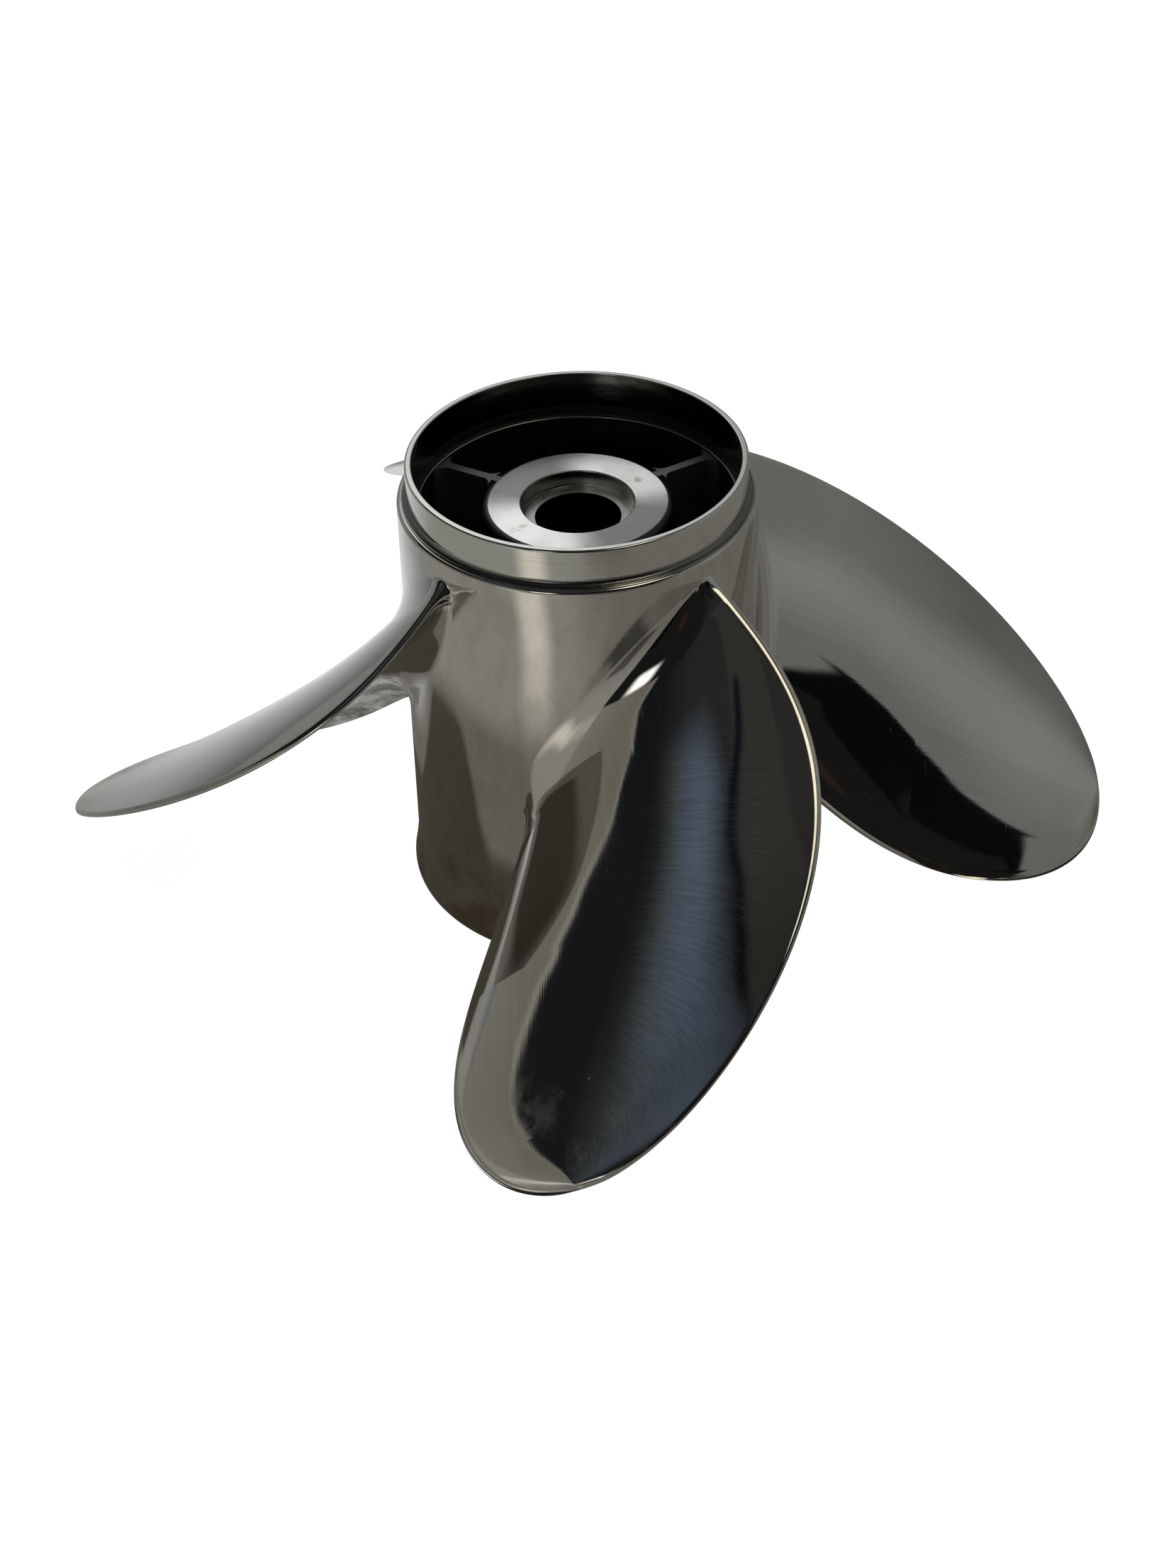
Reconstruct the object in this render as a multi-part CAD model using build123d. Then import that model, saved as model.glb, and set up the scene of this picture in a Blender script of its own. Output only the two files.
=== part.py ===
from build123d import *
import math
import os

# A four-blade, right-hand, through-hub-exhaust boat propeller, standing on its aft end.
# +Z points forward along the shaft axis, and z = 0 is the aft face of the diffuser ring.

# Outer barrel, its pilot collar and its diffuser ring
HEIGHT = 160.7
COLLAR_RADIUS = 54.55
COLLAR_BORE = 52.3
COLLAR_BASE = 148.4
COLLAR_FOOT = 1.8  # concave fillet where the collar meets the shoulder
RIM_ROUND = 0.8
PILOT_STEP = 144.9  # the wide bore behind the collar ends at this step
BARREL_FRONT_RADIUS = 57.85
BARREL_FRONT_BORE = 51.0
SHOULDER_ROUND = 1.5
RING_TOP = 14.0
RING_TOP_RADIUS = 60.1
RING_TOP_BORE = 56.2
RING_AFT_RADIUS = 62.3
RING_AFT_BORE = 58.6
RING_ROUND = 1.0
RING_SWELL = 0.3  # share of the ring's flare that is reached half way down it

# Inner hub with its thrust face, pocket and lip
HUB_RADIUS = 31.4
HUB_AFT_RADIUS = 30.0
HUB_AFT = 26.0
HUB_BORE = 24.5
THRUST_FACE = 143.8
NOSE_ROUND = 2.5
POCKET_RADIUS = 18.3
POCKET_FLOOR = 138.2
LIP_BORE = 17.2
LIP_BACK = 132.5

# Ribs between the inner hub and the barrel
RIBS = 3
FIRST_RIB = 30.0
RIB_THICKNESS = 3.0
RIB_AFT = 34.0
RIB_FILLET = 3.5
RIB_CORNER = 0.9  # a rib's corner edges run at least this share of its height

# Rubber bushing and splined drive sleeve
RUNNING_GAP = 0.05
BUSHING_BORE = 15.9
BUSHING_AFT = 40.0
BUSHING_FRONT = 132.0
SLEEVE_AFT = 31.0
SLEEVE_COLLAR = 5.0
PILOT_RADIUS = 14.0
PILOT_LENGTH = 14.0
SPLINES = 15
SPLINE_ROOT = 12.8
SPLINE_TIP = 11.4
SPLINE_GROOVE = 2.6
GROOVE_MARGIN = 1.0  # how far the groove's cutting block reaches past it

# Blades. Each law has one value for each station, from the root to the tip.
BLADES = 4
TIP_RADIUS = 180.975  # half of 14.25 in
ROOT_RADIUS = 57.5
STATIONS = (0.0, 0.25, 0.5, 0.75, 1.0)
SKEW = (-77.1, -78.7, -82.4, -87.5, -91.6)  # degrees round the axis to mid chord
RAKE = (100.9, 78.6, 60.1, 42.0, 21.7)  # height of mid chord
HALF_CHORD = (52.4, 67.7, 81.1, 87.4, 87.1)  # before the tip's rounding
PITCH = (457.0, 472.0, 484.0, 493.0, 500.0)
CAMBER = (0.044, 0.072, 0.064, 0.011, 0.0)  # of half the chord
CUP = (0.044, 0.038, 0.038, 0.044, 0.056)  # how far the trailing edge curls aft, of half the chord
THICKNESS = (9.5, 7.6, 5.8, 4.2, 2.8)
EDGE = (1.4, 1.3, 1.2, 1.05, 0.9)  # half the thickness at the edges
CUP_START = 0.6  # the cup covers the chord behind this fraction of its aft half
FORWARD_FILLET = 8.0  # root fillet on the forward (suction) face
AFT_FILLET = 14.0  # root fillet on the aft (pressure) face
EDGE_FLARE = 0.12  # share of the root fillet that the edges get
LEADING_TRIM = 2.0  # the leading edge is cut back this much at the root
TRIM_DECAY = 8.0
ROOT_SECTIONS = (-3, -1.5, 0, 0.5, 1.2, 2.5, 4.5, 7, 10, 14)  # heights above the barrel
SPAN_SECTIONS = (19, 26, 34, 44, 57, 70, 83, 95, 105, 112, 117, 120.5, 122.5)
TIP_SECTION = 123.3
CHORD_STEPS = 12

NEAR = 1e-3  # two lengths closer than this are the same


def turned(points):
    """Revolves a closed outline of (radius, height) points round the shaft axis."""
    outline = Polyline(*[(r, 0, z) for r, z in points], close=True)
    return revolve(make_face(outline), Axis.Z)


def round_edges(solid, radius, height, size):
    """Rounds the circular edge of the given radius at the given height."""
    def picked(edge):
        centre = edge.center(CenterOf.BOUNDING_BOX)
        return (
            edge.geom_type == GeomType.CIRCLE
            and abs(centre.Z - height) < NEAR
            and abs(edge.radius - radius) < NEAR
        )

    return fillet(solid.edges().filter_by(picked), size)


def barrel_radius(z):
    """Outside radius of the tapered barrel at height z."""
    share = (COLLAR_BASE - z) / (COLLAR_BASE - RING_TOP)
    return BARREL_FRONT_RADIUS + (RING_TOP_RADIUS - BARREL_FRONT_RADIUS) * share


def barrel():
    shell = turned(
        [
            (RING_TOP_BORE, RING_TOP),
            (RING_TOP_RADIUS, RING_TOP),
            (BARREL_FRONT_RADIUS, COLLAR_BASE),
            (COLLAR_BORE, COLLAR_BASE),
            (COLLAR_BORE, PILOT_STEP),
            (BARREL_FRONT_BORE, PILOT_STEP),
        ]
    )
    return round_edges(shell, BARREL_FRONT_RADIUS, COLLAR_BASE, SHOULDER_ROUND)


def front_collar():
    foot_radius = COLLAR_RADIUS + COLLAR_FOOT
    foot_top = COLLAR_BASE + COLLAR_FOOT
    hollow = COLLAR_FOOT * math.sqrt(0.5)
    outline = [
        Line((COLLAR_BORE, 0, COLLAR_BASE), (COLLAR_BORE, 0, HEIGHT)),
        Line((COLLAR_BORE, 0, HEIGHT), (COLLAR_RADIUS, 0, HEIGHT)),
        Line((COLLAR_RADIUS, 0, HEIGHT), (COLLAR_RADIUS, 0, foot_top)),
        ThreePointArc(
            (COLLAR_RADIUS, 0, foot_top),
            (foot_radius - hollow, 0, foot_top - hollow),
            (foot_radius, 0, COLLAR_BASE),
        ),
        Line((foot_radius, 0, COLLAR_BASE), (COLLAR_BORE, 0, COLLAR_BASE)),
    ]
    collar = revolve(make_face(outline), Axis.Z)
    return round_edges(collar, COLLAR_RADIUS, HEIGHT, RIM_ROUND)


def diffuser_ring():
    middle_radius = RING_TOP_RADIUS + RING_SWELL * (RING_AFT_RADIUS - RING_TOP_RADIUS)
    outline = [
        ThreePointArc(
            (RING_TOP_RADIUS, 0, RING_TOP),
            (middle_radius, 0, RING_TOP / 2),
            (RING_AFT_RADIUS, 0, 0),
        ),
        Line((RING_AFT_RADIUS, 0, 0), (RING_AFT_BORE, 0, 0)),
        Line((RING_AFT_BORE, 0, 0), (RING_TOP_BORE, 0, RING_TOP)),
        Line((RING_TOP_BORE, 0, RING_TOP), (RING_TOP_RADIUS, 0, RING_TOP)),
    ]
    ring = revolve(make_face(outline), Axis.Z)
    return round_edges(ring, RING_AFT_RADIUS, 0, RING_ROUND)


def inner_hub():
    hub = turned(
        [
            (HUB_BORE, HUB_AFT),
            (HUB_AFT_RADIUS, HUB_AFT),
            (HUB_RADIUS, THRUST_FACE),
            (POCKET_RADIUS, THRUST_FACE),
            (POCKET_RADIUS, POCKET_FLOOR),
            (LIP_BORE, POCKET_FLOOR),
            (LIP_BORE, LIP_BACK),
            (HUB_BORE, LIP_BACK),
        ]
    )
    return round_edges(hub, HUB_RADIUS, THRUST_FACE, NOSE_ROUND)


def hub_radius(z):
    """Outside radius of the tapered inner hub at height z."""
    share = (z - HUB_AFT) / (THRUST_FACE - HUB_AFT)
    return HUB_AFT_RADIUS + (HUB_RADIUS - HUB_AFT_RADIUS) * share


def bore_radius(z):
    """Inside radius of the tapered barrel at height z."""
    share = (PILOT_STEP - z) / (PILOT_STEP - RING_TOP)
    return BARREL_FRONT_BORE + (RING_TOP_BORE - BARREL_FRONT_BORE) * share


def rib(hub):
    """One straight rib along +X, spread into the hub and the barrel by fillets."""
    plate_end = BARREL_FRONT_RADIUS
    beyond = plate_end + RIB_FILLET
    height = THRUST_FACE - RIB_AFT
    core = turned(
        [
            (0, RIB_AFT),
            (hub_radius(RIB_AFT), RIB_AFT),
            (hub_radius(THRUST_FACE), THRUST_FACE),
            (0, THRUST_FACE),
        ]
    )
    wall = turned(
        [
            (bore_radius(RIB_AFT), RIB_AFT),
            (beyond, RIB_AFT),
            (beyond, THRUST_FACE),
            (bore_radius(THRUST_FACE), THRUST_FACE),
        ]
    )
    plate = Box(plate_end - HUB_BORE, RIB_THICKNESS, height)
    plate = Pos((HUB_BORE + plate_end) / 2, 0, RIB_AFT + height / 2) * plate
    joined = core + wall + plate

    def corner(edge):
        middle = edge.center()
        return (
            edge.length > RIB_CORNER * height
            and abs(middle.Y) < RIB_THICKNESS
            and 0 < middle.X < plate_end
        )

    spread = fillet(joined.edges().filter_by(corner), RIB_FILLET) - core - wall
    nose_gap = turned(
        [
            (HUB_RADIUS - NOSE_ROUND, THRUST_FACE - NOSE_ROUND),
            (hub_radius(THRUST_FACE - NOSE_ROUND), THRUST_FACE - NOSE_ROUND),
            (HUB_RADIUS, THRUST_FACE),
            (HUB_RADIUS - NOSE_ROUND, THRUST_FACE),
        ]
    )
    return spread + ((nose_gap & plate) - hub)


def rubber_bushing():
    return turned(
        [
            (BUSHING_BORE, BUSHING_AFT),
            (HUB_BORE, BUSHING_AFT),
            (HUB_BORE, BUSHING_FRONT),
            (BUSHING_BORE, BUSHING_FRONT),
        ]
    )


def drive_sleeve():
    """The splined sleeve: a collar in the hub's lip, a pilot bore at the front, and the spline behind it."""
    body_radius = BUSHING_BORE - RUNNING_GAP
    collar_radius = LIP_BORE - RUNNING_GAP
    collar_back = POCKET_FLOOR - SLEEVE_COLLAR
    pilot_end = POCKET_FLOOR - PILOT_LENGTH
    blank = turned(
        [
            (SPLINE_TIP, SLEEVE_AFT),
            (body_radius, SLEEVE_AFT),
            (body_radius, collar_back),
            (collar_radius, collar_back),
            (collar_radius, POCKET_FLOOR),
            (PILOT_RADIUS, POCKET_FLOOR),
            (PILOT_RADIUS, pilot_end),
            (SPLINE_TIP, pilot_end),
        ]
    )
    depth = SPLINE_ROOT - SPLINE_TIP
    length = pilot_end - SLEEVE_AFT
    middle = SLEEVE_AFT + length / 2
    groove = Box(depth + 2 * GROOVE_MARGIN, SPLINE_GROOVE, length)
    groove = Pos(SPLINE_TIP + depth / 2, 0, middle) * groove
    reach = Pos(0, 0, middle) * Cylinder(SPLINE_ROOT, length)
    for tooth in range(SPLINES):
        blank -= groove.rotate(Axis.Z, tooth * 360 / SPLINES) & reach
    return blank


def law(values, share):
    """The value at this share of the blade's length, on the smooth curve through the stations."""
    total = 0.0
    for here, value in zip(STATIONS, values):
        weight = value
        for other in STATIONS:
            if other != here:
                weight *= (share - other) / (here - other)
        total += weight
    return total


def fillet_spread(height, size):
    """How far a root fillet of this size stands out at this height above the barrel."""
    rest = size - min(max(height, 0), size)
    return size - math.sqrt(size**2 - rest**2)


def section(height, flat=False):
    """The closed outline of the blade at this height above the barrel, wrapped round the axis or flat."""
    share = height / (TIP_RADIUS - ROOT_RADIUS)
    radius = ROOT_RADIUS + height
    half = law(HALF_CHORD, share) * math.sqrt(1 - max(share, 0) ** 2)
    slope = math.atan2(law(PITCH, share), 2 * math.pi * radius)
    camber = law(CAMBER, share) * half
    cup = law(CUP, share) * half
    edge = law(EDGE, share)
    belly = law(THICKNESS, share) / 2 - edge
    spreads = {1: fillet_spread(height, FORWARD_FILLET), -1: fillet_spread(height, AFT_FILLET)}
    spreads[0] = (spreads[1] + spreads[-1]) / 2
    trim = LEADING_TRIM * math.exp(-max(height, 0) / TRIM_DECAY)

    def place(chord, side):
        """The point at chord (-1 trailing edge, 1 leading edge) on side (-1 aft, 0 middle, 1 forward)."""
        inside = max(-1.0, min(1.0, chord))
        curl = max(0.0, (-inside - CUP_START) / (1 - CUP_START)) ** 2
        fullness = 1 - (1 - EDGE_FLARE) * inside**4
        swell = edge + belly * (1 - inside**2) + spreads[side] * fullness
        along = half * chord - trim * (1 + inside) / 2
        lift = camber * (1 - inside**2) - cup * curl + side * swell
        z = law(RAKE, share) + along * math.sin(slope) + lift * math.cos(slope)
        swing = (along * math.cos(slope) - lift * math.sin(slope)) / radius
        root = barrel_radius(z)
        reach = radius / math.cos(swing) if flat else root + (TIP_RADIUS - root) * share
        turn = math.radians(law(SKEW, share)) + swing
        return (reach * math.cos(turn), reach * math.sin(turn), z)

    end = 1 - edge / half
    cap = 1 + EDGE_FLARE * spreads[0] / half
    turns = [math.pi * (step / CHORD_STEPS - 0.5) for step in range(CHORD_STEPS + 1)]
    chords = [end * math.sin(turn) for turn in turns]
    return Wire(
        [
            Spline(*[place(chord, 1) for chord in chords]),
            ThreePointArc(place(end, 1), place(cap, 0), place(end, -1)),
            Spline(*[place(chord, -1) for chord in reversed(chords)]),
            ThreePointArc(place(-end, -1), place(-cap, 0), place(-end, 1)),
        ]
    )


def blade():
    """The blade nearest -Y, lofted from inside the barrel's wall to the tip and trimmed at the barrel."""
    sections = [section(height) for height in (*ROOT_SECTIONS, *SPAN_SECTIONS)]
    tip = section(TIP_SECTION, flat=True)
    skin = Shell.make_loft([*sections, tip])
    ends = [Face.make_surface(sections[0]), Face(tip)]
    body = Solid(Shell(ShapeList([*skin.faces(), *ends])))
    core = turned([(0, 0), (barrel_radius(0), 0), (barrel_radius(HEIGHT), HEIGHT), (0, HEIGHT)])
    return body - core


def write(node, shape):
    export_step(shape, os.path.join("parts", node + ".step"))


def main():
    os.makedirs("parts", exist_ok=True)
    hub = inner_hub()
    write("barrel", barrel())
    write("front_collar", front_collar())
    write("diffuser_ring", diffuser_ring())
    write("inner_hub", hub)
    write("rubber_bushing", rubber_bushing())
    write("drive_sleeve", drive_sleeve())
    one_rib = rib(hub)
    for index in range(RIBS):
        write(f"rib_{index + 1}", one_rib.rotate(Axis.Z, FIRST_RIB + index * 360 / RIBS))
    one_blade = blade()
    for index in range(BLADES):
        write(f"blade_{index + 1}", one_blade.rotate(Axis.Z, index * 360 / BLADES))


main()
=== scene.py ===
import bpy
import math
import numpy as np
from mathutils import Matrix, Vector


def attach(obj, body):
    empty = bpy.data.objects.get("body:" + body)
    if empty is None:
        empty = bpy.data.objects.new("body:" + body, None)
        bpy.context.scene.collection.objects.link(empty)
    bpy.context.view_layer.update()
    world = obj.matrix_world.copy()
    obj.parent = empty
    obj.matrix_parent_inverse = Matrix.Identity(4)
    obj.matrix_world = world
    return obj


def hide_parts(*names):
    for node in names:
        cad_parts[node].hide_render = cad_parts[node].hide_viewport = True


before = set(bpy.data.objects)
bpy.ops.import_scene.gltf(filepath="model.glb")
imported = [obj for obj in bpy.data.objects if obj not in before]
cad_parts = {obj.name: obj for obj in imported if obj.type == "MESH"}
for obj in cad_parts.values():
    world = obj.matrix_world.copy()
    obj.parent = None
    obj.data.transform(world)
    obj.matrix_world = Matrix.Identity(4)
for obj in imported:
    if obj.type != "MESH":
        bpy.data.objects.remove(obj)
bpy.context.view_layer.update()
MM = 0.001
SHARP = math.radians(50)  # edges that turn by more than this stay sharp


# ---------- sizes in mm, the same as the CAD model's ----------

# outer barrel, its pilot collar and its diffuser ring
HEIGHT = 160.7
COLLAR_RADIUS = 54.55
COLLAR_BORE = 52.3
COLLAR_BASE = 148.4
COLLAR_FOOT = 1.8  # concave fillet where the collar meets the shoulder
RIM_ROUND = 0.8
PILOT_STEP = 144.9  # the wide bore behind the collar ends at this step
BARREL_FRONT_RADIUS = 57.85
BARREL_FRONT_BORE = 51.0
SHOULDER_ROUND = 1.5
RING_TOP = 14.0
RING_TOP_RADIUS = 60.1
RING_TOP_BORE = 56.2
RING_AFT_RADIUS = 62.3
RING_AFT_BORE = 58.6
RING_ROUND = 1.0

# inner hub with its thrust face, pocket and lip
HUB_RADIUS = 31.4
HUB_AFT_RADIUS = 30.0
HUB_AFT = 26.0
HUB_BORE = 24.5
THRUST_FACE = 143.8
NOSE_ROUND = 2.5
POCKET_RADIUS = 18.3
POCKET_FLOOR = 138.2
LIP_BORE = 17.2
LIP_BACK = 132.5

# only here: the collar's fillet ends in a thin seat, so that its mesh has no knife edge
SEAT_RADIUS = 56.4
SEAT_THICKNESS = 0.05


# ---------- meshes ----------

def piece(name, points, faces, material, stands_for, normals=None):
    """A smooth mesh piece that rides on the propeller and stands for a CAD node."""
    mesh = bpy.data.meshes.new(name)
    mesh.from_pydata([tuple(p) for p in points], [], faces)
    mesh.update()
    mesh.polygons.foreach_set("use_smooth", [True] * len(mesh.polygons))
    mesh.set_sharp_from_angle(angle=SHARP)
    if normals is not None:
        mesh.normals_split_custom_set_from_vertices([tuple(n) for n in normals])
    mesh.materials.append(material)
    made = bpy.data.objects.new(name, mesh)
    bpy.context.scene.collection.objects.link(made)
    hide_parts(stands_for)
    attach(made, "propeller")
    return made


def rounded(corners, steps):
    """The points and outward normals of a closed outline whose (radius, height, round) corners are arcs."""
    points, normals = [], []
    for index, (r, z, size) in enumerate(corners):
        here = np.array([r, z], float)
        before = np.array(corners[index - 1][:2], float) - here
        after = np.array(corners[(index + 1) % len(corners)][:2], float) - here
        before /= np.linalg.norm(before)
        after /= np.linalg.norm(after)
        normal_in = np.array([-before[1], before[0]])
        normal_out = np.array([after[1], -after[0]])
        half = math.acos(max(-1.0, min(1.0, float(before @ after)))) / 2
        inward = (before + after) / np.linalg.norm(before + after)
        centre = here + inward * size / math.sin(half)
        outward = math.copysign(size, normal_in @ (here - centre))
        bend = math.pi - 2 * half
        for step in range(steps + 1):
            share = step / steps
            normal = math.sin((1 - share) * bend) * normal_in + math.sin(share * bend) * normal_out
            normal /= np.linalg.norm(normal)
            points.append(centre + outward * normal)
            normals.append(normal)
    return points, normals


def lathe(name, corners, material, stands_for, turns=512, steps=6):
    """A closed ring turned from a closed outline of (radius, height, round) corners, anticlockwise."""
    outline, slopes = rounded(corners, steps)
    rows = len(outline)
    points, normals, faces = [], [], []
    for turn in range(turns):
        angle = 2 * math.pi * turn / turns
        c, s = math.cos(angle), math.sin(angle)
        for (r, z), (nr, nz) in zip(outline, slopes):
            points.append((r * c * MM, r * s * MM, z * MM))
            normals.append((nr * c, nr * s, nz))
    for turn in range(turns):
        here, there = turn * rows, (turn + 1) % turns * rows
        for row in range(rows):
            after = (row + 1) % rows
            faces.append((here + row, there + row, there + after, here + after))
    return piece(name, points, faces, material, stands_for, normals)


# ---------- blades: the same laws as the CAD model's, at a finer pitch ----------

BLADES = 4
TIP_RADIUS = 180.975
ROOT_RADIUS = 57.5

# the laws' values at these shares of a blade's length, in mm, but skew in degrees, and camber and cup as
# shares of the half chord; edge is half the thickness at the edges
STATIONS = (0.0, 0.25, 0.5, 0.75, 1.0)
SKEW = (-77.1, -78.7, -82.4, -87.5, -91.6)
RAKE = (100.9, 78.6, 60.1, 42.0, 21.7)
HALF_CHORD = (52.4, 67.7, 81.1, 87.4, 87.1)
PITCH = (457.0, 472.0, 484.0, 493.0, 500.0)
CAMBER = (0.044, 0.072, 0.064, 0.011, 0.0)
CUP = (0.044, 0.038, 0.038, 0.044, 0.056)
THICKNESS = (9.5, 7.6, 5.8, 4.2, 2.8)
EDGE = (1.4, 1.3, 1.2, 1.05, 0.9)

SPAN = TIP_RADIUS - ROOT_RADIUS
CUP_START = 0.6  # the share of the half chord where the cup starts
FORWARD_FILLET = 8.0
AFT_FILLET = 14.0
EDGE_FLARE = 0.12  # how much of a fillet widens the section at its edges
LEADING_TRIM = 2.0  # how far the leading edge steps back at the root
TRIM_DECAY = 8.0  # the height over which that fades
ROOT_DEPTH = 1.2  # how far a blade reaches into the barrel
NOSE = 2.8  # how long the rounded edges are for their half thickness
TIP_ROUND = 1.2  # the height over which the tip closes

# the dense grid's rows from root to tip, and its columns round the section
FILLET_ROWS = 26
BODY_ROWS = 130
TIP_ROWS = 9
FACE_COLUMNS = 96
EDGE_COLUMNS = 21

WEAR = (1.0, 0.12, 0.5, 0.35)  # how brushed and flecked each blade is


def law(values, share):
    """The value at each share of the blade's length, on the smooth curve through the stations."""
    total = 0.0
    for here, value in zip(STATIONS, values):
        weight = value + 0 * share
        for other in STATIONS:
            if other != here:
                weight = weight * (share - other) / (here - other)
        total = total + weight
    return total


def barrel_radius(z):
    """Outside radius of the tapered barrel at height z."""
    widening = RING_TOP_RADIUS - BARREL_FRONT_RADIUS
    return BARREL_FRONT_RADIUS + widening * (COLLAR_BASE - z) / (COLLAR_BASE - RING_TOP)


def fillet_spread(height, size):
    """How far a root fillet of this size stands out from the blade, at this height above the barrel."""
    rest = size - np.clip(height, 0, size)
    return size - np.sqrt(size**2 - rest**2)


def blade_point(height, chord, side):
    """Points of the first blade, in mm, at these heights above the barrel. chord -1 is the trailing edge
    and 1 the leading one; side -1 is the aft face and 1 the forward one."""
    share = height / SPAN
    radius = ROOT_RADIUS + height
    half = law(HALF_CHORD, share) * np.sqrt(np.maximum(1 - np.maximum(share, 0)**2, 1e-9))
    slope = np.arctan2(law(PITCH, share), 2 * math.pi * radius)
    closing = np.sqrt(1 - np.clip((height - SPAN) / TIP_ROUND + 1, 0, 1)**2)
    edge = law(EDGE, share) * closing
    belly = law(THICKNESS, share) / 2 * closing - edge
    forward = fillet_spread(height, FORWARD_FILLET)
    aft = fillet_spread(height, AFT_FILLET)
    spread = np.where(side > 0, forward, aft) * np.abs(side) + (forward + aft) / 2 * (1 - np.abs(side))
    end = 1 - NOSE * edge / half
    cap = 1 + EDGE_FLARE * (forward + aft) / 2 / half
    reach = np.cos(np.arcsin(np.clip(side, -1, 1)))
    along_share = chord * (end + (cap - end) * reach)
    inside = np.clip(chord * end, -1, 1)
    trim = LEADING_TRIM * np.exp(-np.maximum(height, 0) / TRIM_DECAY)
    held = np.clip(along_share, -1, 1)
    curl = np.maximum(0, (-held - CUP_START) / (1 - CUP_START))**2
    swell = edge + belly * (1 - inside**2) + spread * (1 - (1 - EDGE_FLARE) * inside**4)
    along = half * along_share - trim * (1 + held) / 2
    lift = law(CAMBER, share) * half * (1 - held**2) - law(CUP, share) * half * curl + side * swell
    z = law(RAKE, share) + along * np.sin(slope) + lift * np.cos(slope)
    swing = (along * np.cos(slope) - lift * np.sin(slope)) / radius
    root = barrel_radius(z)
    out = root + (TIP_RADIUS - root) * share
    turn = np.radians(law(SKEW, share)) + swing
    return np.stack([out * np.cos(turn), out * np.sin(turn), z], -1)


def quarter(steps):
    """Angles from 0 to 90 degrees."""
    return np.linspace(0, math.pi / 2, steps)


def blade_grid():
    """The dense grid's heights, chords and sides, and how many columns a face and an edge take."""
    fillet = AFT_FILLET * (1 - np.cos(quarter(FILLET_ROWS)))
    body = AFT_FILLET + (SPAN - TIP_ROUND - AFT_FILLET) * np.sin(quarter(BODY_ROWS)[1:])
    tip = SPAN - TIP_ROUND * (1 - np.sin(quarter(TIP_ROWS)[1:-1]))
    rows = np.concatenate([[-ROOT_DEPTH], fillet, body, tip])
    chords = np.sin(np.linspace(-1, 1, FACE_COLUMNS) * math.pi / 2)
    turn = np.linspace(math.pi / 2, -math.pi / 2, EDGE_COLUMNS)[1:-1]
    chord = np.concatenate([chords, 0 * turn + 1, chords[::-1], 0 * turn - 1])
    side = np.concatenate([0 * chords + 1, np.sin(turn), 0 * chords - 1, -np.sin(turn)])
    return rows, chord, side, len(chords), len(turn)


def blade(index, material):
    """One blade's skin, closed inside the barrel's wall, with the attributes that its paint reads."""
    rows, chord, side, across, cap = blade_grid()
    around = len(chord)
    heights = rows[:, None] + 0 * chord
    chords = chord + 0 * heights
    sides = side + 0 * heights
    tip = blade_point(np.array([SPAN]), np.array([0.0]), np.array([0.0]))
    points = np.concatenate([blade_point(heights, chords, sides).reshape(-1, 3), tip])
    angle = math.radians(360 / BLADES * index)
    c, s = math.cos(angle), math.sin(angle)
    points = points @ np.array([[c, s, 0], [-s, c, 0], [0, 0, 1]]) * MM
    faces = []
    for row in range(len(rows) - 1):
        for column in range(around):
            after = (column + 1) % around
            faces.append((row * around + column, row * around + after,
                          (row + 1) * around + after, (row + 1) * around + column))
    last = (len(rows) - 1) * around
    for column in range(around):
        faces.append((last + column, last + (column + 1) % around, last + around))
    back = 2 * across + cap - 1
    for column in range(across - 1):
        faces.append((column + 1, column, back - column, back - column - 1))
    faces.append(tuple(range(across + cap, across - 2, -1)))
    faces.append(tuple([0] + list(range(around - 1, back - 1, -1))))
    name = f"blade_{index + 1}"
    made = piece(f"{name}_skin", points, faces, material, name)
    values = {
        "along": np.append(law(HALF_CHORD, heights / SPAN) * chord, 0) * MM,
        "out": np.append(heights, SPAN) * MM,
        "chord": np.append(chords, 0),
        "side": np.append(sides, 0),
        "wear": np.full(len(points), WEAR[index]),
    }
    for attribute, numbers in values.items():
        layer = made.data.attributes.new(attribute, "FLOAT", "POINT")
        layer.data.foreach_set("value", numbers.astype(np.float32))


# ---------- materials ----------

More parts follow.
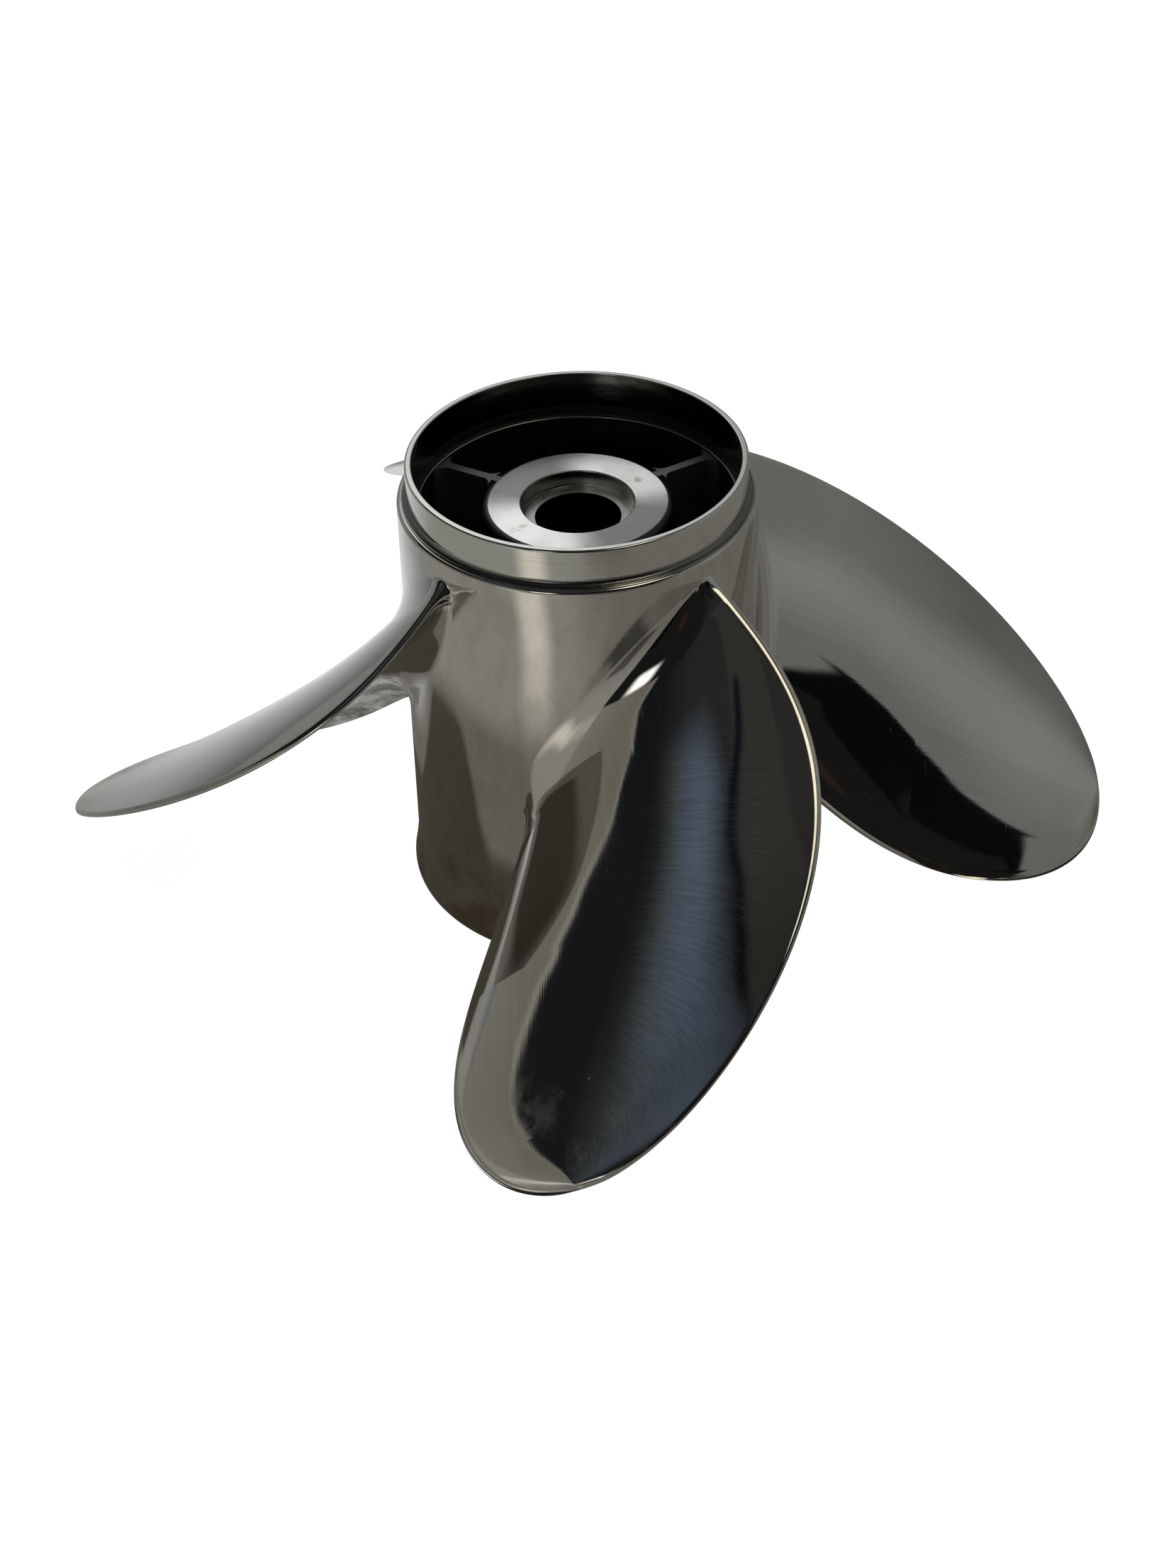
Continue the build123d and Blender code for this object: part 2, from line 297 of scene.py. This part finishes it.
class Paint:
    """A material's node tree, with a short way to add nodes to it."""

    def __init__(self, name):
        self.material = bpy.data.materials.new(name)
        self.material.use_nodes = True
        self.tree = self.material.node_tree
        self.tree.nodes.clear()
        self.shader = self.node("ShaderNodeBsdfPrincipled")
        self.node("ShaderNodeOutputMaterial", {"Surface": self.shader.outputs[0]})
        self.place = self.node("ShaderNodeTexCoord").outputs["Object"]

    def join(self, socket, value):
        """Links a socket to another node's output, or sets it to a constant."""
        if isinstance(value, bpy.types.NodeSocket):
            self.tree.links.new(value, socket)
        else:
            socket.default_value = value

    def node(self, kind, inputs=None, **settings):
        made = self.tree.nodes.new(kind)
        for key, value in settings.items():
            setattr(made, key, value)
        for key, value in (inputs or {}).items():
            self.join(made.inputs[key], value)
        return made

    def set(self, **values):
        """Sets the shader's sockets. An underscore stands for a space in a socket's name."""
        for key, value in values.items():
            self.join(self.shader.inputs[key.replace("_", " ")], value)

    def maths(self, operation, a, b=0.0, c=0.0):
        return self.node("ShaderNodeMath", {0: a, 1: b, 2: c}, operation=operation).outputs[0]

    def times(self, first, *others):
        for other in others:
            first = self.maths("MULTIPLY", first, other)
        return first

    def most(self, a, b):
        return self.maths("MAXIMUM", a, b)

    def off(self, value, centre):
        """How far the value is from a centre."""
        return self.maths("ABSOLUTE", self.maths("SUBTRACT", value, centre))

    def attribute(self, name):
        return self.node("ShaderNodeAttribute", attribute_name=name).outputs["Fac"]

    def noise(self, place, scale, detail=2.0, roughness=0.5):
        inputs = {"Vector": place, "Scale": scale, "Detail": detail, "Roughness": roughness}
        return self.node("ShaderNodeTexNoise", inputs).outputs["Fac"]

    def stretched(self, place, scale, turn=(0, 0, 0)):
        inputs = {"Vector": place, "Scale": scale, "Rotation": turn}
        return self.node("ShaderNodeMapping", inputs).outputs[0]

    def vector(self, x, y, z=0.0):
        return self.node("ShaderNodeCombineXYZ", {0: x, 1: y, 2: z}).outputs[0]

    def parts(self, place):
        return self.node("ShaderNodeSeparateXYZ", {0: place}).outputs

    def ranged(self, value, low, high, to_low=0.0, to_high=1.0, smooth=True):
        inputs = {"Value": value, "From Min": low, "From Max": high, "To Min": to_low, "To Max": to_high}
        kind = "SMOOTHSTEP" if smooth else "LINEAR"
        return self.node("ShaderNodeMapRange", inputs, interpolation_type=kind).outputs[0]

    def mixed(self, share, a, b, blend="MIX"):
        """A mix of two colours."""
        made = self.node("ShaderNodeMix", data_type="RGBA", blend_type=blend)
        for name, kind, value in (("Factor", "VALUE", share), ("A", "RGBA", a), ("B", "RGBA", b)):
            self.join([s for s in made.inputs if s.name == name and s.type == kind][0], value)
        return [s for s in made.outputs if s.type == "RGBA"][0]

    def between(self, share, a, b):
        """A mix of two numbers."""
        return self.node("ShaderNodeMix", {0: share, 2: a, 3: b}, data_type="FLOAT").outputs[0]

    def bump(self, height, distance, base=None):
        inputs = {"Height": height, "Distance": distance}
        if base is not None:
            inputs["Normal"] = base
        return self.node("ShaderNodeBump", inputs).outputs[0]

    def radius(self):
        x, y, _ = self.parts(self.place)
        return self.maths("SQRT", self.maths("ADD", self.times(x, x), self.times(y, y)))

    def metal(self, tint, rough, normal, metallic=1.0):
        self.set(Base_Color=tint, Metallic=metallic, Roughness=rough, Normal=normal)
        return self.material


DARK_STEEL = (0.60, 0.59, 0.57, 1)
PALE_STEEL = (0.66, 0.65, 0.63, 1)
# the thrust face's two bright lobes are painted highlights
LOBES = (0.67, 0.74)  # the direction of the thrust face's two bright lobes


def polished_blade():
    """Mirror-polished stainless: soft waviness, spanwise polishing lines, a band of fine brushing towards
    the leading edge, a scuffed tip, specks and stray scratches, and whitish as-cast patches on the aft
    face."""
    paint = Paint("polished_blade")
    names = ("along", "out", "chord", "side", "wear")
    along, out, chord, side, wear = [paint.attribute(name) for name in names]
    smudge = paint.noise(paint.place, 22.0, 3.0)

    # polishing lines and brushing
    grain = paint.noise(paint.vector(paint.times(along, 1400.0), paint.times(out, 20.0)), 1.0, 3.0)
    slant = paint.maths("MULTIPLY_ADD", along, -0.4, out)
    brush = paint.noise(paint.vector(paint.times(along, 60.0), paint.times(slant, 1500.0)), 1.0, 3.0)
    band = paint.times(paint.ranged(paint.off(chord, 0.35), 0.60, 0.25), paint.ranged(out, 0.012, 0.040))

    # scratches, specks and scuffs
    scratch_place = paint.stretched(paint.place, (700.0, 60.0, 60.0), (0.4, 0.9, 0.3))
    scratch = paint.ranged(paint.noise(scratch_place, 1.0, 2.0), 0.70, 0.76)
    speck = paint.ranged(paint.noise(paint.place, 400.0, 3.0, 0.7), 0.735, 0.775)
    scuff = paint.ranged(paint.noise(paint.place, 55.0, 6.0, 0.75), 0.50, 0.66)
    scuff = paint.times(scuff, paint.ranged(out, 0.078, 0.112))
    marks = paint.most(paint.times(scratch, 0.3), paint.most(speck, paint.times(scuff, 0.45)))

    # as-cast patches near the aft face's root
    near_root = paint.times(paint.ranged(out, 0.048, 0.028), paint.ranged(out, -0.001, 0.004))
    blotch = paint.ranged(paint.noise(paint.place, 60.0, 5.0, 0.7), 0.36, 0.60, 0.25, 1.0)
    cast = paint.times(near_root, paint.ranged(chord, -0.12, -0.38), blotch, paint.ranged(side, -0.3, -0.7))

    rough = paint.maths("MULTIPLY_ADD", paint.ranged(smudge, 0.45, 0.75), 0.03, 0.045)
    rough = paint.maths("ADD", rough, paint.ranged(grain, 0.55, 0.8, 0.0, 0.04))
    stroke = paint.times(band, paint.ranged(brush, 0.50, 0.66))
    rough = paint.maths("MULTIPLY_ADD", stroke, 0.03, rough)
    rough = paint.maths("MULTIPLY_ADD", marks, 0.25, rough)
    rough = paint.between(cast, rough, 0.5)

    tint = paint.mixed(paint.ranged(smudge, 0.3, 0.7), DARK_STEEL, PALE_STEEL)
    tint = paint.mixed(paint.ranged(grain, 0.35, 0.65, 0.0, 0.18), tint, (0.30, 0.32, 0.34, 1))
    strokes = paint.mixed(paint.ranged(brush, 0.36, 0.64), (0.33, 0.33, 0.33, 1), (0.96, 0.97, 1.0, 1))
    tint = paint.mixed(paint.times(band, wear, 0.24), tint, strokes)
    # darker towards the leading edge, out along the span
    leading_dark = paint.times(paint.ranged(chord, 0.0, 0.60), paint.ranged(out, 0.050, 0.100), 0.42)
    tint = paint.mixed(leading_dark, tint, (0.16, 0.16, 0.155, 1))
    tint = paint.mixed(cast, tint, (0.80, 0.80, 0.79, 1))

    # the trailing edge's cup tightens towards the tip of the forward face
    curl = paint.maths("POWER", paint.ranged(chord, -0.25, -1.0, smooth=False), 1.35)
    curl = paint.times(curl, paint.ranged(out, 0.055, 0.107, smooth=False), paint.ranged(side, -0.2, 0.8))
    normal = paint.bump(paint.noise(paint.place, 16.0, 1.5), 0.0007)
    normal = paint.bump(grain, 0.000004, base=normal)
    normal = paint.bump(paint.times(brush, band), 0.0000025, base=normal)
    normal = paint.bump(paint.times(cast, paint.noise(paint.place, 260.0, 4.0, 0.65)), 0.0008, base=normal)
    normal = paint.bump(curl, 0.0036, base=normal)

    fleck = paint.maths("MULTIPLY_ADD", scuff, 0.06, paint.times(speck, 0.35))
    metallic = paint.maths("SUBTRACT", paint.between(cast, 1.0, 0.35), paint.times(fleck, wear))
    return paint.metal(tint, rough, normal, metallic)


def polished_barrel():
    """Mirror-polished stainless, stained and painted darker towards the aft end, with a rough inside painted
    dark as painted shade, and a bright ledge.
    """
    paint = Paint("polished_barrel")
    z = paint.parts(paint.place)[2]
    radius = paint.radius()
    smudge = paint.noise(paint.place, 30.0, 4.0)
    wave = paint.noise(paint.stretched(paint.place, (1.0, 1.0, 0.6)), 26.0, 2.0)
    grain = paint.noise(paint.stretched(paint.place, (60.0, 60.0, 1800.0)), 1.0, 2.0)
    normal = paint.bump(grain, 0.000003, base=paint.bump(wave, 0.0006))

    # brownish stains low on the barrel, partly painted shade that darkens it towards the floor
    low = paint.ranged(z, 0.060, 0.0)
    cloud_place = paint.stretched(paint.place, (1.0, 1.0, 0.5))
    cloud = paint.ranged(paint.noise(cloud_place, 75.0, 6.0, 0.7), 0.42, 0.62)
    speck = paint.ranged(paint.noise(paint.place, 190.0, 4.0, 0.6), 0.60, 0.72)
    stain = paint.times(low, paint.ranged(paint.noise(paint.place, 60.0, 5.0, 0.65), 0.42, 0.62), 0.7)
    stain = paint.most(stain, paint.times(speck, low, 0.8))
    # painted shade: the barrel's inside is painted dark
    inside = paint.ranged(radius, 0.0566, 0.0560)
    ledge = paint.times(paint.ranged(radius, 0.0515, 0.0512), paint.ranged(z, 0.1445, 0.1448))

    tint = paint.mixed(paint.ranged(smudge, 0.3, 0.7), DARK_STEEL, PALE_STEEL)
    tint = paint.mixed(paint.times(cloud, 0.26), tint, (0.34, 0.31, 0.27, 1))
    tint = paint.mixed(stain, tint, (0.30, 0.22, 0.16, 1))
    tint = paint.mixed(inside, tint, (0.10, 0.105, 0.11, 1))
    tint = paint.mixed(ledge, tint, (0.50, 0.50, 0.49, 1))
    rough = paint.maths("MULTIPLY_ADD", paint.ranged(smudge, 0.4, 0.7), 0.05, 0.05)
    rough = paint.maths("MULTIPLY_ADD", stain, 0.25, rough)
    rough = paint.most(rough, paint.times(inside, 0.45))
    rough = paint.between(ledge, rough, 0.28)
    return paint.metal(tint, rough, normal)


def painted_bow_tie(paint, tint, radius):
    """Paints a bow tie on a turned face: two opposite bright lobes of painted highlight, and painted shade
    everywhere else.
    """
    x, y, _ = paint.parts(paint.place)
    across = paint.maths("MULTIPLY_ADD", x, LOBES[0], paint.times(y, LOBES[1]))
    facing = paint.maths("ABSOLUTE", paint.maths("DIVIDE", across, radius))
    # painted highlight in the two lobes
    tint = paint.mixed(paint.ranged(facing, 0.60, 0.97), tint, (0.97, 0.97, 0.96, 1))
    # painted shade away from the lobes
    return paint.mixed(paint.ranged(facing, 0.85, 0.45, 0.0, 0.80), tint, (0.15, 0.15, 0.148, 1))


def machined(name, shade_and_cast, dark, gloss, haze=0.12, stained=0.6, shade_and_cast_rough=0.42, lobes=False):
    """Machined steel with fine concentric turning lines. shade_and_cast masks the part that is dark and
    rough: painted shade, and on the hub also as-cast metal.
    """
    paint = Paint(name)
    radius = paint.radius()
    z = paint.parts(paint.place)[2]
    lines = paint.noise(paint.vector(paint.times(radius, 2600.0), paint.times(z, 2600.0)), 1.0, 2.0)
    smudge = paint.noise(paint.place, 60.0, 4.0)
    stain = paint.ranged(paint.noise(paint.place, 120.0, 4.0, 0.6), 0.60, 0.72, 0.0, stained)
    mask = shade_and_cast(paint, radius, z)

    tint = paint.mixed(paint.ranged(lines, 0.3, 0.7), (0.60, 0.60, 0.58, 1), (0.70, 0.70, 0.68, 1))
    # the painted highlight and painted shade of a turned face
    if lobes:
        tint = painted_bow_tie(paint, tint, radius)
    tint = paint.mixed(stain, tint, (0.33, 0.25, 0.17, 1))
    # painted shade: the masked part is painted dark
    tint = paint.mixed(mask, tint, (dark, dark, dark, 1))
    rough = paint.maths("MULTIPLY_ADD", paint.ranged(smudge, 0.35, 0.7), haze, gloss)
    rough = paint.between(mask, rough, shade_and_cast_rough)
    pits = paint.times(mask, paint.noise(paint.place, 420.0, 4.0, 0.6))
    normal = paint.bump(pits, 0.0001, base=paint.bump(lines, 0.000008))
    return paint.metal(tint, rough, normal)


def hub_cast_and_shade(paint, radius, z):
    """The hub's rounded nose, its outside and its bore are as cast, and painted dark as painted shade."""
    return paint.most(paint.ranged(radius, 0.0288, 0.0291), paint.ranged(z, 0.1378, 0.1374))


def collar_shade(paint, radius, z):
    """Painted shade: the collar's bore is painted darker and rougher below its rim, and the cove at its foot
    is painted dark.
    """
    # painted shade in the crease at the collar's foot
    cove = paint.times(paint.ranged(z, 0.1505, 0.1497), paint.ranged(radius, 0.0540, 0.0543), 0.85)
    # painted shade, darker deeper down the bore
    bore = paint.times(paint.ranged(radius, 0.0527, 0.0524), paint.ranged(z, 0.1590, 0.1560, 0.30, 1.0))
    return paint.most(bore, cove)


def sleeve_bore_shade(paint, radius, z):
    """Painted shade: the sleeve's bore is painted dark."""
    return paint.times(paint.ranged(radius, 0.0145, 0.0141), paint.ranged(z, 0.1382, 0.1378))


def cast_steel():
    """Dark as-cast steel inside the exhaust passage."""
    paint = Paint("cast_steel")
    coarse = paint.noise(paint.place, 420.0, 4.0, 0.6)
    smudge = paint.noise(paint.place, 45.0, 3.0)
    tint = paint.mixed(paint.ranged(smudge, 0.3, 0.7), (0.16, 0.16, 0.16, 1), (0.24, 0.235, 0.225, 1))
    rough = paint.maths("MULTIPLY_ADD", coarse, 0.3, 0.35)
    return paint.metal(tint, rough, paint.bump(coarse, 0.00012), 0.9)


def rubber():
    """Black moulded rubber with a fine grain."""
    paint = Paint("bushing_rubber")
    grain = paint.noise(paint.place, 900.0, 3.0)
    smudge = paint.noise(paint.place, 80.0, 3.0)
    tint = paint.mixed(smudge, (0.010, 0.010, 0.011, 1), (0.030, 0.029, 0.028, 1))
    rough = paint.maths("MULTIPLY_ADD", smudge, 0.25, 0.5)
    return paint.metal(tint, rough, paint.bump(grain, 0.00006), 0.0)


blade_steel = polished_blade()
barrel_steel = polished_barrel()
collar_steel = machined("collar_steel", collar_shade, 0.12, 0.05, haze=0.06, stained=0.20, shade_and_cast_rough=0.25)
hub_steel = machined("hub_steel", hub_cast_and_shade, 0.07, 0.20, lobes=True)
sleeve_steel = machined("sleeve_steel", sleeve_bore_shade, 0.02, 0.4)
cast = cast_steel()
black_rubber = rubber()

# ---------- the propeller ----------

for index in range(BLADES):
    blade(index, blade_steel)

# each corner of an outline is (radius, height, round)
lathe("barrel_shell", [
    (RING_TOP_BORE, RING_TOP, 0.2), (RING_TOP_RADIUS, RING_TOP, 0.05),
    (BARREL_FRONT_RADIUS, COLLAR_BASE, SHOULDER_ROUND), (COLLAR_BORE, COLLAR_BASE, 0.1),
    (COLLAR_BORE, PILOT_STEP, 0.15), (BARREL_FRONT_BORE, PILOT_STEP, 0.35),
], barrel_steel, "barrel", steps=10)

lathe("collar_ring", [
    (SEAT_RADIUS, COLLAR_BASE, 0.02), (SEAT_RADIUS, COLLAR_BASE + SEAT_THICKNESS, 0.02),
    (COLLAR_RADIUS, COLLAR_BASE + SEAT_THICKNESS, COLLAR_FOOT), (COLLAR_RADIUS, HEIGHT, RIM_ROUND),
    (COLLAR_BORE, HEIGHT, 0.4), (COLLAR_BORE, COLLAR_BASE, 0.1),
], collar_steel, "front_collar")

lathe("diffuser_flare", [
    (RING_AFT_RADIUS, 0.0, RING_ROUND), (61.35, 4.5, 6.0), (60.5, 10.5, 8.0),
    (RING_TOP_RADIUS, RING_TOP, 0.05), (RING_TOP_BORE, RING_TOP, 0.2), (RING_AFT_BORE, 0.0, 0.5),
], barrel_steel, "diffuser_ring")

lathe("hub_casting", [
    (HUB_BORE, HUB_AFT, 0.5), (HUB_AFT_RADIUS, HUB_AFT, 1.5), (HUB_RADIUS, THRUST_FACE, NOSE_ROUND),
    (POCKET_RADIUS, THRUST_FACE, 0.5), (POCKET_RADIUS, POCKET_FLOOR, 0.3),
    (LIP_BORE, POCKET_FLOOR, 0.2), (LIP_BORE, LIP_BACK, 0.2), (HUB_BORE, LIP_BACK, 0.3),
], hub_steel, "inner_hub", turns=256)

# these CAD nodes stay, with a better material
finishes = {
    "rib_1": cast, "rib_2": cast, "rib_3": cast,
    "rubber_bushing": black_rubber, "drive_sleeve": sleeve_steel,
}
for node, finish in finishes.items():
    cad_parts[node].data.materials.clear()
    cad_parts[node].data.materials.append(finish)

# ---------- camera ----------

# fitted to the propeller in the photograph: it looks down from the front and leans a little
ELEVATION = math.radians(39.503)
ROLL = math.radians(-1.735)
STAND = (0.00056, -0.61524, 0.53333)
FOCAL = 51.74
SENSOR = 36.0

back = np.array([0, -math.cos(ELEVATION), math.sin(ELEVATION)])
right = np.array([1.0, 0, 0])
up = np.cross(back, right)
tilted_right = math.cos(ROLL) * right + math.sin(ROLL) * up
tilted_up = -math.sin(ROLL) * right + math.cos(ROLL) * up
lens = bpy.data.cameras.new("camera")
lens.lens = FOCAL
lens.sensor_width = SENSOR
camera = bpy.data.objects.new("camera", lens)
place = np.eye(4)
place[:3] = np.stack([tilted_right, tilted_up, back, STAND], 1)
camera.matrix_world = Matrix(place.tolist())
bpy.context.scene.collection.objects.link(camera)
bpy.context.scene.camera = camera
bpy.context.scene.view_settings.view_transform = "Standard"

# ---------- floor and light ----------

SIDE = 6.0  # half the width of a sheet of the stage


def sheet(name, height, material):
    """A large flat square of the stage."""
    mesh = bpy.data.meshes.new(name)
    corners = [(-SIDE, -SIDE, height), (SIDE, -SIDE, height), (SIDE, SIDE, height), (-SIDE, SIDE, height)]
    mesh.from_pydata(corners, [], [(0, 1, 2, 3)])
    mesh.materials.append(material)
    made = bpy.data.objects.new(name, mesh)
    bpy.context.scene.collection.objects.link(made)
    return made


floor_paint = Paint("floor")
floor_paint.set(Base_Color=(0.45, 0.45, 0.44, 1), Roughness=0.9,
                Emission_Color=(1, 1, 1, 1), Emission_Strength=0.96)
floor = sheet("floor", 0.0, floor_paint.material)
floor.visible_glossy = False


def glowing_bench_paint():
    """A glowing sheet of painted light round the propeller, standing for the table under it and only ever
    seen mirrored in it. It has a painted shadow close to the barrel and under the left blade and is paler
    further out, with a painted cool glow behind and a painted warm streak in front, a window's reflection,
    both to the left."""
    paint = Paint("glowing_bench")
    x, y, _ = paint.parts(paint.place)
    reach = paint.radius()
    bearing = paint.times(paint.maths("ARCTAN2", x, y), 180 / math.pi)

    # painted shadow near the barrel and under the left blade, and further out paler on the left than on the
    # right
    under = paint.ranged(bearing, -134.0, -100.0)
    under = paint.maths("MINIMUM", under, paint.ranged(bearing, -72.0, -84.0))
    edge = paint.maths("MULTIPLY_ADD", under, 0.072, 0.100)
    near = paint.ranged(paint.maths("SUBTRACT", reach, edge), -0.008, 0.008)
    colour = paint.mixed(near, (0.072, 0.065, 0.049, 1), (0.186, 0.170, 0.149, 1))
    across = paint.maths("MULTIPLY_ADD", x, 0.996, paint.times(y, 0.087))
    across = paint.maths("DIVIDE", across, reach)
    outer = paint.mixed(paint.ranged(across, -0.34, 0.34), (0.33, 0.323, 0.287, 1), (0.20, 0.19, 0.165, 1))
    colour = paint.mixed(paint.ranged(reach, 0.165, 0.200), colour, outer)

    # a painted cool glow
    spread = paint.ranged(bearing, -70.0, -40.0, 0.060, 0.125, smooth=False)
    level = paint.maths("ADD", paint.maths("DIVIDE", spread, reach), 0.17)
    level = paint.maths("MINIMUM", level, 0.85)
    cool = paint.vector(paint.times(level, 0.97), level, paint.times(level, 0.985))
    glow = paint.times(paint.ranged(paint.off(bearing, -30.0), 52.0, 34.0), paint.ranged(reach, 0.12, 0.17))
    colour = paint.mixed(glow, colour, cool)

    # a painted warm streak, a window's reflection
    middle = paint.ranged(reach, 0.25, 0.433, -154.0, -140.0, smooth=False)
    streak = paint.ranged(paint.off(bearing, middle), 13.0, 2.0)
    fade = paint.ranged(reach, 0.28, 0.75, 0.95, 0.25)
    streak = paint.times(streak, paint.ranged(reach, 0.15, 0.26), fade)
    colour = paint.mixed(streak, colour, (0.48, 0.445, 0.37, 1), "ADD")

    # a shadow in front, to the right
    shadow = paint.ranged(paint.off(bearing, 163.0), 16.0, 11.0)
    fade = paint.ranged(reach, 0.62, 0.54, 0.0, 0.62)
    shadow = paint.times(shadow, paint.ranged(reach, 0.29, 0.31), fade)
    colour = paint.mixed(shadow, colour, (0, 0, 0, 1))
    # the sheet only glows, with all of its painted light
    paint.set(Base_Color=(0, 0, 0, 1), Specular_IOR_Level=0.0, Emission_Color=colour, Emission_Strength=1.0)
    return paint.material


glowing_bench = sheet("glowing_bench", -0.001, glowing_bench_paint())
glowing_bench.visible_camera = False
glowing_bench.visible_diffuse = False
glowing_bench.visible_shadow = False
glowing_bench.visible_transmission = False


def direction(azimuth, elevation):
    """A unit vector; azimuth 0 is +Y and 90 is +X, both in degrees."""
    a, e = math.radians(azimuth), math.radians(elevation)
    return (math.sin(a) * math.cos(e), math.cos(a) * math.cos(e), math.sin(e))


class Sky(Paint):
    """The world's node tree: the studio round the propeller, painted by direction."""

    def __init__(self):
        world = bpy.data.worlds.new("studio")
        bpy.context.scene.world = world
        world.use_nodes = True
        self.tree = world.node_tree
        self.tree.nodes.clear()
        self.look = self.node("ShaderNodeTexCoord").outputs["Generated"]

    def dot(self, vector):
        made = self.node("ShaderNodeVectorMath", {0: self.look, 1: vector}, operation="DOT_PRODUCT")
        return made.outputs["Value"]

    def panel(self, azimuth, elevation, width, height, soft, roll=0.0):
        """1 inside a soft-edged rectangle of these angles, in degrees, and 0 outside it."""
        ahead = np.array(direction(azimuth, elevation))
        level = np.array(direction(azimuth + 90, 0))
        rise = np.cross(level, ahead)
        r = math.radians(roll)
        side = math.cos(r) * level + math.sin(r) * rise
        top = -math.sin(r) * level + math.cos(r) * rise
        depth = self.dot(tuple(ahead))
        safe = self.most(depth, 0.01)
        result = self.ranged(depth, 0.0, 0.05)
        for axis, size in ((side, width), (top, height)):
            reach = math.tan(math.radians(size / 2))
            blur = math.tan(math.radians(soft))
            offset = self.maths("ABSOLUTE", self.maths("DIVIDE", self.dot(tuple(axis)), safe))
            result = self.times(result, self.ranged(offset, reach + blur, max(reach - blur, 0.0)))
        return result


sky = Sky()
elevation = sky.times(sky.maths("ARCSINE", sky.parts(sky.look)[2]), 180 / math.pi)
ramp = sky.node("ShaderNodeValToRGB", {0: sky.ranged(elevation, -90, 90, smooth=False)})
STOPS = [
    # elevation, colour
    (-90, (0.045, 0.042, 0.037)), (0, (0.25, 0.24, 0.205)), (24, (0.20, 0.187, 0.15)),
    (28.5, (0.22, 0.205, 0.165)), (29.4, (0.33, 0.32, 0.29)), (30, (0.010, 0.011, 0.012)),
    (38, (0.012, 0.013, 0.014)), (47, (0.028, 0.028, 0.028)), (90, (0.036, 0.035, 0.032)),
]
points = ramp.color_ramp.elements
while len(points) < len(STOPS):
    points.new(0.5)
for point, (angle, _) in zip(points, STOPS):
    point.position = (angle + 90) / 180
for point, (_, shade) in zip(points, STOPS):
    point.color = (*shade, 1)
colour = ramp.outputs["Color"]
PANELS = [
    # azimuth, elevation, width, height, softness, roll, colour
    (-13, 42, 30, 34, 9, 0, (1.12, 1.13, 1.12)),
    (-24, 10, 60, 40, 9, 0, (0.262, 0.278, 0.262)),
    (75, 30, 90, 50, 1, 0, (0.20, 0.205, 0.192)),
    (83, 28, 26, 40, 12, 20, (0.29, 0.295, 0.275)),
    (149.5, 24.8, 64.4, 22.6, 0.6, -28, (0.0035, 0.004, 0.0045)),
    (162, 12, 62, 42, 0.6, -20, (0.0035, 0.004, 0.0045)),
    (163, 20, 54, 30, 0.6, 0, (0.0125, 0.012, 0.0108)),
    (168, 21, 20, 4, 1.5, 10, (0.035, 0.020, 0.014)),
    (119.2, 18.3, 26, 20, 1.2, -43, (0.200, 0.204, 0.190)),
    (-168, 20, 38, 46, 1, 0, (0.012, 0.012, 0.012)),
    (-157, 17, 13, 12, 3, 0, (1.9, 1.85, 1.75)),
    (-82.2, 24.1, 31, 0.9, 0.25, -24, (0.33, 0.32, 0.29)),
    (-78, 32.7, 30, 18, 0.5, -24, (0.012, 0.013, 0.014)),
    (-106, 50, 8, 8, 6, -40, (0.070, 0.085, 0.090)),
    (-115, 53.5, 12, 7, 5.5, -40, (0.103, 0.136, 0.187)),
    (-130, 68, 60, 14, 0.7, 8, (0.044, 0.044, 0.040)),
    (-139, 61.6, 16, 1.8, 0.7, 4, (0.004, 0.007, 0.010)),
    (127, 60, 26, 16, 1.5, -15, (1.55, 1.42, 1.08)),
]
for azimuth, height, width, tall, soft, roll, light in PANELS:
    colour = sky.mixed(sky.panel(azimuth, height, width, tall, soft, roll), colour, (*light, 1))
studio = sky.node("ShaderNodeBackground", {"Color": colour, "Strength": 1.0}).outputs[0]
white = sky.node("ShaderNodeBackground", {"Color": (1, 1, 1, 1), "Strength": 1.0}).outputs[0]
seen = sky.node("ShaderNodeLightPath").outputs["Is Camera Ray"]
both = sky.node("ShaderNodeMixShader", {0: seen, 1: studio, 2: white}).outputs[0]
sky.node("ShaderNodeOutputWorld", {"Surface": both})

top_light = bpy.data.lights.new("top_light", "AREA")
top_light.size = 2.0
top_light.energy = 30.0
lamp = bpy.data.objects.new("top_light", top_light)
lamp.location = (0.0, 0.3, 2.6)
lamp.rotation_euler = (Vector((0, 0, 0.05)) - lamp.location).to_track_quat("-Z", "Y").to_euler()
lamp.visible_glossy = False
bpy.context.scene.collection.objects.link(lamp)
